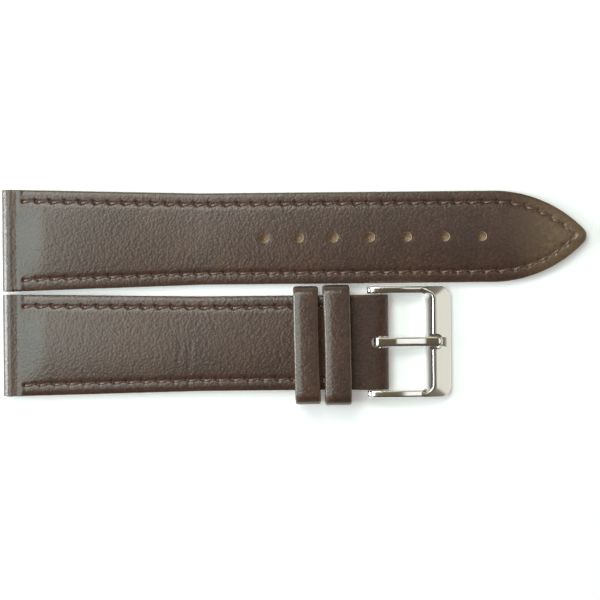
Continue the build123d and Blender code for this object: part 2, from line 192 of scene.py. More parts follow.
# How far the edge is drawn in at a needle hole, and how deep that reaches
EDGE_PULL, EDGE_PULL_DEPTH = 0.03, 1.3
# How far in from the outline the pad's quick rise starts and ends, and where its slow crown starts
PAD_EDGE = (2.3, 3.5)
CROWN_START = 2.6
# A stitch's length, how far from its middle its needle holes are, and how far each kind of stitch is moved up from the
# foot of its solid
STITCH_LENGTH, HOLE_REACH = 2.45, 1.2
STITCH_LEVELS = {"top": 0.18, "bobbin": 0.42, "tack": 0.23}
# How wide a rubbed edge with its painted highlight is, how far the tip is painted paler, as wear and as painted warm
# light falling on it, and where that starts and is full, before the tip's end
EDGE_WEAR_AND_HIGHLIGHT, TIP_WEAR_AND_LIGHT = 0.75, 1.9
TIP_WEAR_AND_LIGHT_START, TIP_FULL = 17, 3
# How much of the pad is lost towards the tip, and where that starts, before the tip's end
TIP_LOSS, TIP_LOSS_START = 0.6, 16
# From the lug end: where the pad has its full height, and where the groove begins and has its full depth
PAD_FULL, ROWS_START, ROWS_FULL = 9, 3.9, 4.4
LINING_ROWS_START, LINING_ROWS_FULL = 3.7, 4.3
# The adjusting holes' places from the first one, in steps of their pitch
HOLE_STEPS = (0, 1.02, 2.07, 3.09, 4.10, 5.05, 6.00)
# The dent that the punch leaves round each: its depth, and how far out it is over
HOLE_DENT, HOLE_DENT_WIDTH = 0.03, 0.6
# How much narrower each hole is further down, and the radius of the pinhole in the lining
HOLE_NARROWING, PINHOLE = 0.15, 0.14
# How far before the bar the short piece starts to climb to its fold's height, and how far before it the climb ends
CLIMB, CREST = 8.6, 5.6
# How far the short piece's pad reaches past its filler, and its slope's length there
PAD_OVERHANG, PAD_END_SLOPE = 0.7, 1.2
# How far before the lining's end the short piece's groove gets shallower and ends
ROWS_STOP, ROWS_END = 1.2, 0.6
# Creases where the short piece bends most: place along X, slant, and first and last Y
CREASES = ((-22.6, 0.05, -6.0, 2.0), (-21.2, -0.06, -6.6, 0.8), (-20.2, 0.1, -7.0, 2.5))
CREASE_WIDTH, CREASE_DEPTH = 0.26, 0.03

# One cross-section of a leather piece: the inner face's place along X and Z, the way to the outer face, the
# thickness, the half width, the outline's inward normal in plan, and how much of the pad and the groove it has
Section = namedtuple("Section", "base up thick half normal pad groove")


def in_mm(group):
    """A property group's lengths as plain numbers in millimetres."""
    return SimpleNamespace(**{name: getattr(group, name) / MM for name in type(group).__annotations__})


def middle_of(box):
    """The middle of a box of the frame, in millimetres."""
    return [(low + high) / 2 / MM for low, high in zip(*box)]


def ease(value, low, high):
    """A smooth step from 0 at low to 1 at high."""
    share = min(max((value - low) / (high - low), 0), 1)
    return share * share * (3 - 2 * share)


def even_steps(points, step):
    """Points at even steps along a line of points."""
    lengths = [0]
    for a, b in zip(points, points[1:]):
        lengths.append(lengths[-1] + math.dist(a, b))
    count = round(lengths[-1] / step)
    spaced, k = [], 0
    for n in range(count + 1):
        target = lengths[-1] * n / count
        while k < len(points) - 2 and lengths[k + 1] < target:
            k += 1
        share = (target - lengths[k]) / (lengths[k + 1] - lengths[k])
        spaced.append(tuple(p + share * (q - p) for p, q in zip(points[k], points[k + 1])))
    return spaced


def even_count(points, count):
    """A given number of even steps along a line of points."""
    run = sum(math.dist(a, b) for a, b in zip(points, points[1:]))
    return even_steps(points, run / count)


def arc(centre, radius, first, last, count):
    """Points on an arc, with its angles in degrees."""
    angles = [math.radians(first + (last - first) * n / count) for n in range(count + 1)]
    return [(centre[0] + radius * math.cos(a), centre[1] + radius * math.sin(a)) for a in angles]


def between(base, top, half, pad=0, groove=0):
    """A section from a point of the inner face to the matching point of the outer face."""
    reach = math.dist(base, top)
    up = ((top[0] - base[0]) / reach, (top[1] - base[1]) / reach)
    return Section(base, up, reach, half, (0, -1), pad, groove)


def glide(start, start_way, end, end_way, share):
    """A point on a curve that leaves start one way and reaches end another way."""
    a, b = 1 - share, share
    handle = math.dist(start, end) / 2.6
    inner = [p + handle * w for p, w in zip(start, start_way)]
    outer = [p - handle * w for p, w in zip(end, end_way)]
    return tuple(
        a**3 * p + 3 * a * a * b * q + 3 * a * b * b * r + b**3 * t for p, q, r, t in zip(start, inner, outer, end)
    )


def lug_lift(x, left, low, sizes):
    """How much thicker a piece is near its lug roll, which it meets level, past a shallow crease."""
    rest = 2 * sizes.lug_radius - low - sizes.lining_height - sizes.margin_height - LUG_DROP
    crease = LUG_CREASE * math.exp(-(((x - left - LUG_FLAT - LUG_CREASE_WIDTH) / LUG_CREASE_WIDTH) ** 2))
    return rest * (1 - ease(x, left + LUG_FLAT, left + LIFT_END)) - crease if x > left + LUG_FLAT - 0.01 else 0


def lug_sections(left, low, sizes):
    """The leather's turned-in end, its roll round the lug tunnel, and the dip between the roll and the pad."""
    half = sizes.lug_width / 2
    centre = (left + sizes.lug_radius, sizes.lug_radius)
    wall = sizes.lug_radius - sizes.lug_bore
    # The short piece lies higher, so its turned-in end leaves the roll sooner
    start = 312 if low else 275
    inner = arc(centre, sizes.lug_bore, start, ROLL_END, 24)
    outer = arc(centre, sizes.lug_radius, start, ROLL_END, 24)
    turn = math.radians(start)
    down = (math.sin(turn), -math.cos(turn))
    end = left + TURN_UNDER
    sections = []
    for n in range(6):
        base = glide((end, low + wall), (-1, 0), inner[0], down, n / 6)
        sections.append(between(base, glide((end, low), (-1, 0), outer[0], down, n / 6), half))
    sections += [between(a, b, half) for a, b in zip(inner, outer)]
    slope = (math.sin(math.radians(ROLL_END)), -math.cos(math.radians(ROLL_END)))
    flat_low = (left + LUG_FLAT, low + sizes.lining_height)
    flat_top = (flat_low[0], flat_low[1] + sizes.margin_height + lug_lift(flat_low[0], left, low, sizes))
    for n in range(1, 8):
        base = glide(inner[-1], slope, flat_low, (1, 0), n / 8)
        top = glide(outer[-1], slope, flat_top, (1, 0), n / 8)
        sections.append(between(base, top, half))
    return sections


def long_half_outline(left, sizes):
    """One side of the long piece's outline, from its flat start to the nose, as X and distance from its middle."""
    right = left + (long_box[1].x - long_box[0].x) / MM
    half, tail = sizes.lug_width / 2, sizes.tail_width / 2
    shoulder, nose = right - sizes.tip_length, right - sizes.nose_depth
    run, drop = nose - shoulder, tail - sizes.nose_half_width
    chord = math.hypot(run, drop)
    reach = math.sqrt(sizes.tip_side_radius**2 - chord * chord / 4)
    centre = (
        (shoulder + nose) / 2 - reach * drop / chord,
        (tail + sizes.nose_half_width) / 2 - reach * run / chord,
    )
    first = math.degrees(math.atan2(tail - centre[1], shoulder - centre[0]))
    last = math.degrees(math.atan2(sizes.nose_half_width - centre[1], nose - centre[0]))
    nose_radius = (sizes.nose_half_width**2 + sizes.nose_depth**2) / (2 * sizes.nose_depth)
    nose_angle = math.degrees(math.asin(sizes.nose_half_width / nose_radius))
    points = [
        (left + LUG_FLAT, half),
        (left + sizes.taper_start, half),
        (left + sizes.taper_start + sizes.taper_length, tail),
    ]
    points += arc(centre, sizes.tip_side_radius, first, last, 60)
    return points + arc((right - nose_radius, 0), nose_radius, nose_angle, 0, 16)[1:]


def outline_sections(points, low, thick, up, pad_of, groove_of):
    """Sections at even steps along one side of an outline, each with its inward normal."""
    spaced = even_steps(points, SECTION_STEP)
    sections = []
    for n, (x, half) in enumerate(spaced):
        a, b = spaced[max(n - 1, 0)], spaced[min(n + 1, len(spaced) - 1)]
        if n == len(spaced) - 1 and half == 0:
            normal = (-1, 0)
        else:
            run = math.dist(a, b)
            normal = ((b[1] - a[1]) / run, -(b[0] - a[0]) / run)
        sections.append(Section((x, low), up, thick, half, normal, pad_of(x), groove_of(x)))
    return sections


def meeting_points(sections, depths):
    """Where the outline, drawn in by each depth, meets the middle line, for a pointed end."""
    meets = {}
    for depth in depths:
        last = None
        for section in sections:
            x = section.base[0] + depth * section.normal[0]
            y = section.half + depth * section.normal[1]
            if y < 0 and last and last[1] > 0:
                share = last[1] / (last[1] - y)
                meets[depth] = last[0] + share * (x - last[0])
                break
            last = (x, y)
    return meets


def nothing(x):
    """A swell, a share of wear and painted light, or a pad that is nowhere."""
    return 0


def leather_piece(
    name, sections, middle, inset, fall, rise, material, holes=None, swell=nothing, wear_and_painted_light=nothing
):
    """A closed leather shell through a row of sections, with turned edges, a stitch groove and needle holes.

    Its outline is drawn in by the inset, and its margin falls towards the edge. The rise is what its face adds to the
    thickness at each point, the swell what it adds at each X, and the last argument how much paler it is painted at
    each X, partly as rubbing and partly as painted light.
    """
    stitch = in_mm(bpy.context.scene.strap_stitches)
    full = max(section.thick for section in sections if section.up[1])
    depths = [inset + depth for depth, _ in EDGE_RINGS] + list(TOP_RINGS)
    meets = meeting_points(sections, depths)
    rings = [(DEEP, share, 0) for share in (1, 0.5, 0)]
    rings += [(inset + depth, 0, level) for depth, level in EDGE_RINGS]
    rings += [(depth, 0, 1) for depth in TOP_RINGS if depth > inset + EDGE_RINGS[-1][0]]
    rings += [(DEEP, share, 1) for share in MIDDLE_SHARES]
    rows, met = [], {}
    for section in sections:
        scale = min(section.thick / full, 1)
        sides = []
        for side in (1, -1):
            points = []
            for depth, share, level in rings:
                near = depth if depth > inset + EDGE_DEPTH else inset + (depth - inset) * scale
                x = section.base[0] + near * section.normal[0]
                y = section.half + near * section.normal[1]
                joined = depth in meets and y <= 0
                if joined:
                    x, y = meets[depth], 0
                y *= side * (1 - share)
                # Painted light: the top edge is painted paler, partly as rubbing and partly as a highlight where its
                # rounding catches light, and so is the tip, partly as painted warm light falling on it
                worn_and_lit = max(0, 1 - (depth - inset) / EDGE_WEAR_AND_HIGHLIGHT) if level > 0.5 and share == 0 else 0
                worn_and_lit = max(worn_and_lit, wear_and_painted_light(x))
                thick = section.thick + (swell(x) if section.up[1] > 0 else 0)
                if share == 0:
                    thick -= fall * section.groove * (1 - ease(depth, inset + FALL_START, FALL_END))
                height = level * thick
                if level == 1:
                    height += rise(depth, share, section, x, y)
                    if holes:
                        height -= section.groove * needle_dip(holes, (x, middle + y, 0), depth, share, stitch)
                if holes and 0 < level and depth < EDGE_PULL_DEPTH and section.groove:
                    _, _, gap = holes.find((x, middle + y, 0))
                    pull = EDGE_PULL * (1 - ease(gap, stitch.inset, stitch.inset + PUCKER_WIDTH))
                    y -= side * pull * (1 - ease(depth, 0, EDGE_PULL_DEPTH))
                if joined:
                    height = met.setdefault((depth, level), height)
                points.append(
                    (x + section.up[0] * height, middle + y, section.base[1] + section.up[1] * height, worn_and_lit)
                )
            sides.append(points)
        rows.append(sides[0] + sides[1][::-1][1:])
    return grid_piece(name, rows, material)


def needle_dip(holes, place, depth, share, stitch):
    """How far the leather is pulled down by the nearest needle hole: in it, and in a pucker beside it in the margin."""
    _, _, gap = holes.find(place)
    dip = stitch.dimple * math.exp(-((gap / NEEDLE_RADIUS) ** 2))
    if share == 0 and PUCKER_START < depth < stitch.inset:
        beside = math.sqrt(max(0, gap * gap - (stitch.inset - depth) ** 2))
        drawn = stitch.pucker * ease(depth, PUCKER_START, PUCKER_FULL)
        dip += drawn * math.exp(-((beside / PUCKER_WIDTH) ** 2))
    return dip


def select_only(piece):
    """Makes one piece the selected and active one."""
    bpy.ops.object.select_all(action="DESELECT")
    piece.select_set(True)
    bpy.context.view_layer.objects.active = piece


def grid_piece(name, rows, material):
    """Adds a grid with one vertex for each place in the rows, moves each vertex to its place, and closes the shell."""
    along, across = len(rows) - 1, len(rows[0]) - 1
    bpy.ops.object.select_all(action="DESELECT")
    bpy.ops.mesh.primitive_grid_add(x_subdivisions=across, y_subdivisions=along, size=2)
    piece = bpy.context.object
    piece.name = piece.data.name = name
    # Each point's share of the paler colour, which is partly wear and partly painted light
    wear_and_painted_light = piece.data.attributes.new("wear_and_painted_light", "FLOAT", "POINT")
    for vertex in piece.data.vertices:
        row = rows[round((vertex.co.y + 1) / 2 * along)]
        *place, worn_and_lit = row[round((vertex.co.x + 1) / 2 * across)]
        wear_and_painted_light.data[vertex.index].value = worn_and_lit
        vertex.co = Vector(place) * MM
    piece.data.materials.append(material)
    bpy.ops.object.mode_set(mode="EDIT")
    bpy.ops.mesh.select_all(action="SELECT")
    bpy.ops.mesh.remove_doubles(threshold=0.002 * MM)
    bpy.ops.mesh.dissolve_degenerate(threshold=0.001 * MM)
    bpy.ops.mesh.select_all(action="SELECT")
    bpy.ops.mesh.fill_holes(sides=0)
    bpy.ops.mesh.select_all(action="SELECT")
    bpy.ops.mesh.normals_make_consistent(inside=False)
    bpy.ops.object.mode_set(mode="OBJECT")
    bpy.ops.object.shade_smooth()
    return piece


def punch(piece, places, middle, profile, material):
    """Punches round holes through a piece, each as wide as its profile says at each height, showing undyed leather."""
    for x in places:
        turns = [2 * math.pi * n / 40 for n in range(41)]
        rows = [
            [(x + radius * math.cos(a), middle + radius * math.sin(a), z, 0) for a in turns] for radius, z in profile
        ]
        cut(piece, grid_piece("punch", rows, material), material)


def rounded_block(centre, size, radius):
    """A block with its four upright edges rounded, to cut a slot with."""
    bpy.ops.object.select_all(action="DESELECT")
    bpy.ops.mesh.primitive_cube_add(
        size=1, scale=[length * MM for length in size], location=[place * MM for place in centre]
    )
    block = bpy.context.object
    bpy.ops.object.transform_apply(scale=True)
    bevel = block.modifiers.new("round", "BEVEL")
    bevel.affect = "EDGES"
    bevel.width, bevel.segments, bevel.limit_method = radius * MM, 10, "WEIGHT"
    weights = block.data.attributes.new("bevel_weight_edge", "FLOAT", "EDGE")
    for edge in block.data.edges:
        a, b = (block.data.vertices[k].co for k in edge.vertices)
        weights.data[edge.index].value = float(abs(a.z - b.z) > size[2] / 2 * MM)
    bpy.ops.object.modifier_apply(modifier=bevel.name)
    return block


def cut(piece, cutter, material):
    """Cuts one shape out of a piece and gives the cut walls their own finish."""
    cutter.data.materials.clear()
    cutter.data.materials.append(material)
    if material.name not in piece.data.materials:
        piece.data.materials.append(material)
    select_only(piece)
    change = piece.modifiers.new("cut", "BOOLEAN")
    change.operation = "DIFFERENCE"
    change.solver = "EXACT"
    change.material_mode = "TRANSFER"
    change.object = cutter
    bpy.ops.object.modifier_apply(modifier=change.name)
    bpy.data.objects.remove(cutter)
    bpy.ops.object.shade_smooth_by_angle(angle=math.radians(50))


def loose_parts(node):
    """Each separate solid of a CAD node as its lowest and highest corners and its direction in plan."""
    work = bmesh.new()
    work.from_mesh(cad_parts[node].data)
    bmesh.ops.remove_doubles(work, verts=work.verts, dist=0.001 * MM)
    seen, parts = set(), []
    for start in work.verts:
        if start in seen:
            continue
        seen.add(start)
        island, queue = [], [start]
        while queue:
            vertex = queue.pop()
            island.append(vertex.co / MM)
            for edge in vertex.link_edges:
                other = edge.other_vert(vertex)
                if other not in seen:
                    seen.add(other)
                    queue.append(other)
        low = Vector([min(co[k] for co in island) for k in range(3)])
        high = Vector([max(co[k] for co in island) for k in range(3)])
        middle = (low + high) / 2
        spread = [(co.x - middle.x, co.y - middle.y) for co in island]
        sxx, syy, sxy = (sum(a * a for a, _ in spread), sum(b * b for _, b in spread), sum(a * b for a, b in spread))
        parts.append((low, high, 0.5 * math.atan2(2 * sxy, sxx - syy)))
    work.free()
    return parts


def needle_holes(stitches):
    """A search tree of the points where the thread enters the leather."""
    ends = []
    for low, high, angle in stitches:
        middle = (low + high) / 2
        for side in (-1, 1):
            ends.append(
                (middle.x + side * HOLE_REACH * math.cos(angle), middle.y + side * HOLE_REACH * math.sin(angle), 0)
            )
    tree = KDTree(len(ends))
    for n, end in enumerate(ends):
        tree.insert(end, n)
    tree.balance()
    return tree


def plug(tree, node, inputs):
    """Sets each of a node's inputs to a value, or links it to another node's output."""
    for key, value in inputs.items():
        if isinstance(value, bpy.types.NodeSocket):
            tree.links.new(value, node.inputs[key])
        else:
            node.inputs[key].default_value = value


def add_node(tree, kind, settings=None, inputs=None):
    """Adds a node with its settings and inputs, and gives its outputs."""
    new = tree.nodes.new(kind)
    for key, value in (settings or {}).items():
        setattr(new, key, value)
    plug(tree, new, inputs or {})
    return new.outputs


def maths(tree, operation, *values):
    """The result of one operation on numbers and outputs."""
    return add_node(tree, "ShaderNodeMath", {"operation": operation}, dict(enumerate(values)))[0]


def remap(tree, value, low, high, first=0, last=1):
    """A value between two limits, stretched to the range from first to last."""
    inputs = {"Value": value, "From Min": low, "From Max": high, "To Min": first, "To Max": last}
    return add_node(tree, "ShaderNodeMapRange", None, inputs)[0]


def blend(tree, share, first, second, kind="MIX"):
    """Two colours mixed, from all of the first at 0 to all of the second at 1."""
    inputs = {0: share, 6: first, 7: second}
    return add_node(tree, "ShaderNodeMix", {"data_type": "RGBA", "blend_type": kind}, inputs)[2]


def noise(tree, place, size, detail, **more):
    """Cloudy noise with its coarsest features about a given number of millimetres apart."""
    return add_node(
        tree, "ShaderNodeTexNoise", None, {"Vector": place, "Scale": 1 / (size * MM), "Detail": detail, **more}
    )


def cells(tree, place, size, kind, **more):
    """How far each point is from the middle of its cell, for cells of a size in millimetres."""
    inputs = {"Vector": place, "Scale": 1 / (size * MM), **more}
    return add_node(tree, "ShaderNodeTexVoronoi", {"feature": kind}, inputs)["Distance"]


def bump(tree, height, depth, strength=1.0, invert=False, **more):
    """A normal bent by a height, whose full range is a depth in millimetres."""
    inputs = {"Height": height, "Distance": depth * MM, "Strength": strength, **more}
    return add_node(tree, "ShaderNodeBump", {"invert": invert}, inputs)[0]


def new_finish(name):
    """A new material with its node tree, its surface shader, and the piece's own coordinates."""
    material = bpy.data.materials.new(name)
    material.use_nodes = True
    tree = material.node_tree
    place = add_node(tree, "ShaderNodeTexCoord")["Object"]
    return material, tree, tree.nodes["Principled BSDF"], place


def calf_leather():
    """Calf leather, drum-dyed brown and satin-finished: a fine pebbled grain that breaks up a broad soft sheen."""
    colours = bpy.context.scene.strap_colours
    material, tree, shader, place = new_finish("satin_calf_leather")
    # The grain of calf is about 0.3 mm across, and is drawn at 0.48 mm so that it shows; its valleys are painted near
    # black, partly dye and partly painted shade that gives the contrast of the glints on the grain's tops
    grain = cells(tree, place, 0.48, "SMOOTH_F1", Smoothness=0.5)
    fibres = noise(tree, place, 0.7, 3, Roughness=0.6)["Fac"]
    # The dye mottles over about 7 mm
    mottle = remap(tree, noise(tree, place, 7, 4, Roughness=0.55)["Fac"], 0.35, 0.65)
    brown = blend(tree, mottle, colours.leather_dark[:], colours.leather[:])
    dyed_and_shaded = blend(tree, remap(tree, grain, 0.2, 0.7, 0, 0.45), brown, colours.leather_grain_dye_and_shade[:])
    # Painted light: the edges and the tip are painted the paler olive, partly as rubbing and partly as a highlight
    # where the edges' rounding catches light and as warm light falling on the tip
    rubbed_and_lit = add_node(tree, "ShaderNodeAttribute", {"attribute_name": "wear_and_painted_light"})["Fac"]
    worn_and_lit = blend(tree, maths(tree, "MULTIPLY", rubbed_and_lit, fibres), dyed_and_shaded, colours.leather_worn_and_lit[:])
    # Creases of the hide lie a little slantwise, under 1 mm apart
    slanted = add_node(
        tree, "ShaderNodeMapping", None, {"Vector": place, "Rotation": (0, 0, 0.5), "Scale": (1, 0.75, 1)}
    )[0]
    creased = bump(tree, noise(tree, slanted, 0.75, 2)["Fac"], 0.04)
    plug(tree, shader, {
        "Base Color": worn_and_lit,
        "Roughness": remap(tree, fibres, 0, 1, 0.28, 0.36),
        "Normal": bump(tree, grain, 0.046, invert=True, Normal=creased),
        "IOR": 1.5,
        "Coat Weight": 0.3,
        "Coat Roughness": 0.27,
    })
    return material


def lining_leather(name, colour, size):
    """Undyed split leather: matt and fibrous, so it takes the light evenly, with small darker pores."""
    material, tree, shader, place = new_finish(name)
    pores = cells(tree, place, size, "F1")
    nap = noise(tree, place, size * 2.5, 5, Roughness=0.7)
    dark = blend(tree, 0.5, colour[:], nap["Color"], "MULTIPLY")
    light = add_node(tree, "ShaderNodeHueSaturation", None, {"Value": 1.35, "Color": colour[:]})[0]
    plug(tree, shader, {
        "Base Color": blend(tree, nap["Fac"], dark, light),
        "Roughness": 0.78,
        "Normal": bump(tree, pores, 0.05, 0.6),
    })
    return material


def sewing_thread():
    """Bonded polyester thread: two plies laid up in a twist, which shows as slanting ridges with a slight gloss."""
    material, tree, shader, _ = new_finish("bonded_polyester_thread")
    flat = add_node(tree, "ShaderNodeUVMap", {"uv_map": "UVMap"})[0]
    around, along, _ = add_node(tree, "ShaderNodeSeparateXYZ", None, {0: flat})
    # The plies cross over every 0.55 mm, four times along a stitch
    turns = maths(tree, "MULTIPLY_ADD", along, 4.0, around)
    plies = maths(tree, "SINE", maths(tree, "MULTIPLY", turns, 4 * math.pi))
    # A painted highlight makes the raised start of each stitch pale, as lit from the left, and painted shade darkens
    # the rest towards its hole
    rubbed_and_lit = remap(tree, along, 0.2, 0.62, 1.3, 0.7)
    # The colour is also painted darker in the grooves between the plies, as shade
    shade = maths(tree, "MULTIPLY", remap(tree, plies, -1, 1, 0.45, 1.1), rubbed_and_lit)
    thread = bpy.context.scene.strap_colours.thread[:3]
    plug(tree, shader, {
        "Base Color": add_node(tree, "ShaderNodeVectorMath", {"operation": "SCALE"}, {0: thread, "Scale": shade})[0],
        "Roughness": 0.42,
        "Normal": bump(tree, plies, 0.04, 0.8),
    })
    return material


def steel(name, roughness, ripple):
    """Stainless steel, cast and polished: mirror-like, with a faint ripple and hairlines left by the buffing wheel."""
    material, tree, shader, place = new_finish(name)
    drawn = add_node(tree, "ShaderNodeMapping", None, {"Vector": place, "Scale": (0.08, 1, 1)})[0]
    hairlines = noise(tree, drawn, 0.12, 2)["Fac"]
    plug(tree, shader, {
        "Base Color": bpy.context.scene.strap_colours.steel[:],
        "Metallic": 1,
        "Roughness": remap(tree, hairlines, 0, 1, roughness * 0.7, roughness * 1.5),
        "Normal": bump(tree, noise(tree, place, 3, 1)["Fac"], 0.02, ripple),
    })
    return material


def filler_board():
    """Pressed fibre board, matt grey-brown with loose fibres, inside the leather."""
    material, tree, shader, place = new_finish("pressed_fibre_board")
    fibres = noise(tree, place, 0.6, 6, Distortion=1.5)["Fac"]
    plug(tree, shader, {
        "Base Color": blend(tree, fibres, linear("#6b6054"), linear("#a39682")),
        "Roughness": 0.9,
    })
    return material


def finish(name):
    """The material of a name, made the first time that it is asked for."""
    colours = bpy.context.scene.strap_colours
    makers = {
        "satin_calf_leather": calf_leather,
        "tan_lining_leather": lambda: lining_leather("tan_lining_leather", colours.lining, 0.5),
        "cut_leather": lambda: lining_leather("cut_leather", colours.raw_edge, 0.25),
        "bonded_polyester_thread": sewing_thread,
        "polished_steel": lambda: steel("polished_steel", 0.06, 0.5),
        "spring_steel": lambda: steel("spring_steel", 0.22, 0.2),
        "pressed_fibre_board": filler_board,
    }
    return bpy.data.materials.get(name) or makers[name]()


def dress(node, name):
    """Gives a CAD node its finish."""
    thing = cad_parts[node]
    thing.data.materials.clear()
    thing.data.materials.append(finish(name))


def settle(piece, body, node):
    """Puts a piece on its body in place of a CAD node."""
    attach(piece, body)
    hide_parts(node)


def padded_rise(sizes, stitch):
    """How far the best side stands over the margin: a soft swell, the stitch groove, and the crowned pad."""

    def rise(depth, share, section, x, y):
        swell = 0
        if depth < SWELL_END and share == 0:
            swell = MARGIN_SWELL * math.sin(math.pi * ease(depth, SWELL_START, SWELL_END))
        groove = stitch.groove * math.exp(-(((depth - stitch.inset) / GROOVE_WIDTH) ** 2)) if share == 0 else 0
        inside = depth if share == 0 else DEEP + share * (section.half - DEEP)
        edge = (sizes.pad_rise - sizes.pad_crown) * ease(inside, *PAD_EDGE)
        along = max(0, section.half - inside) / max(1, section.half - CROWN_START)
        crown = sizes.pad_crown * (1 - min(along, 1) ** 2)
        return section.groove * (swell - groove) + section.pad * (edge + crown)

    return rise


def flat_rise(stitch):
    """The lining's face: flat but for the groove that its stitches lie in."""

    def rise(depth, share, section, x, y):
        groove = stitch.groove * math.exp(-(((depth - stitch.inset) / LINING_GROOVE_WIDTH) ** 2)) if share == 0 else 0
        return -section.groove * groove

    return rise


class STRAP_OT_long_piece(bpy.types.Operator):
    """Make the long piece: its cover with the pointed tip and adjusting holes, and its lining"""

    bl_idname = "strap.long_piece"
    bl_label = "Long piece"

    def execute(self, context):
        sizes, stitch = in_mm(context.scene.strap_sizes), in_mm(context.scene.strap_stitches)
        left = long_box[0].x / MM
        right = long_box[1].x / MM
        middle = middle_of(long_box)[1]
        outline = long_half_outline(left, sizes)
        holes = needle_holes(loose_parts("long_top_stitches"))
        places = [right - sizes.first_hole - steps * sizes.hole_pitch for steps in HOLE_STEPS]
        mouth = sizes.hole_width / 2
        neck = mouth - HOLE_NARROWING

        sections = lug_sections(left, 0, sizes)
        sections += outline_sections(
            outline, sizes.lining_height, sizes.margin_height, (0, 1),
            lambda x: ease(x, left + LUG_FLAT, left + PAD_FULL)
            * (1 - TIP_LOSS * ease(x, right - TIP_LOSS_START, right - TIP_FULL)),
            lambda x: ease(x, left + ROWS_START, left + ROWS_FULL),
        )
        plain = padded_rise(sizes, stitch)

        def rise(depth, share, section, x, y):
            """The pad's height, pressed in a little round each adjusting hole."""
            height = plain(depth, share, section, x, y)
            gap = min(math.dist((x, y), (place, 0)) for place in places)
            return height - HOLE_DENT * (1 - ease(gap, mouth + 0.05, mouth + HOLE_DENT_WIDTH))

        cover = leather_piece(
            "long_cover_leather", sections, middle, 0, sizes.margin_fall, rise, finish("satin_calf_leather"), holes,
            swell=lambda x: lug_lift(x, left, 0, sizes),
            # The tip is painted paler, partly as wear and partly as painted warm light falling on it
            wear_and_painted_light=lambda x: TIP_WEAR_AND_LIGHT * ease(x, right - TIP_WEAR_AND_LIGHT_START, right - TIP_FULL),
        )
        # The punch leaves a hole that narrows downwards, and the soft lining closes round a pinhole
        punch(cover, places, middle, ((neck, 0.2), (neck, 2.1), (mouth, 3.0), (mouth, 5)), finish("cut_leather"))
        settle(cover, "long_strap", "long_cover")

        outline[0] = (left + TURN_UNDER + LINING_GAP, outline[0][1])
        sections = outline_sections(
            outline, sizes.lining_height, sizes.lining_height, (0, -1), nothing,
            lambda x: ease(x, left + LINING_ROWS_START, left + LINING_ROWS_FULL),
        )
        lining = leather_piece(
            "long_lining_leather", sections, middle, sizes.lining_inset, 0, flat_rise(stitch),
            finish("tan_lining_leather"), holes,
        )
        punch(
            lining, places, middle, ((PINHOLE, -1), (PINHOLE, 0.56), (neck, 0.64), (neck, 1.2)), finish("cut_leather")
        )
        settle(lining, "long_strap", "long_lining")
        dress("long_filler", "pressed_fibre_board")
        return {"FINISHED"}


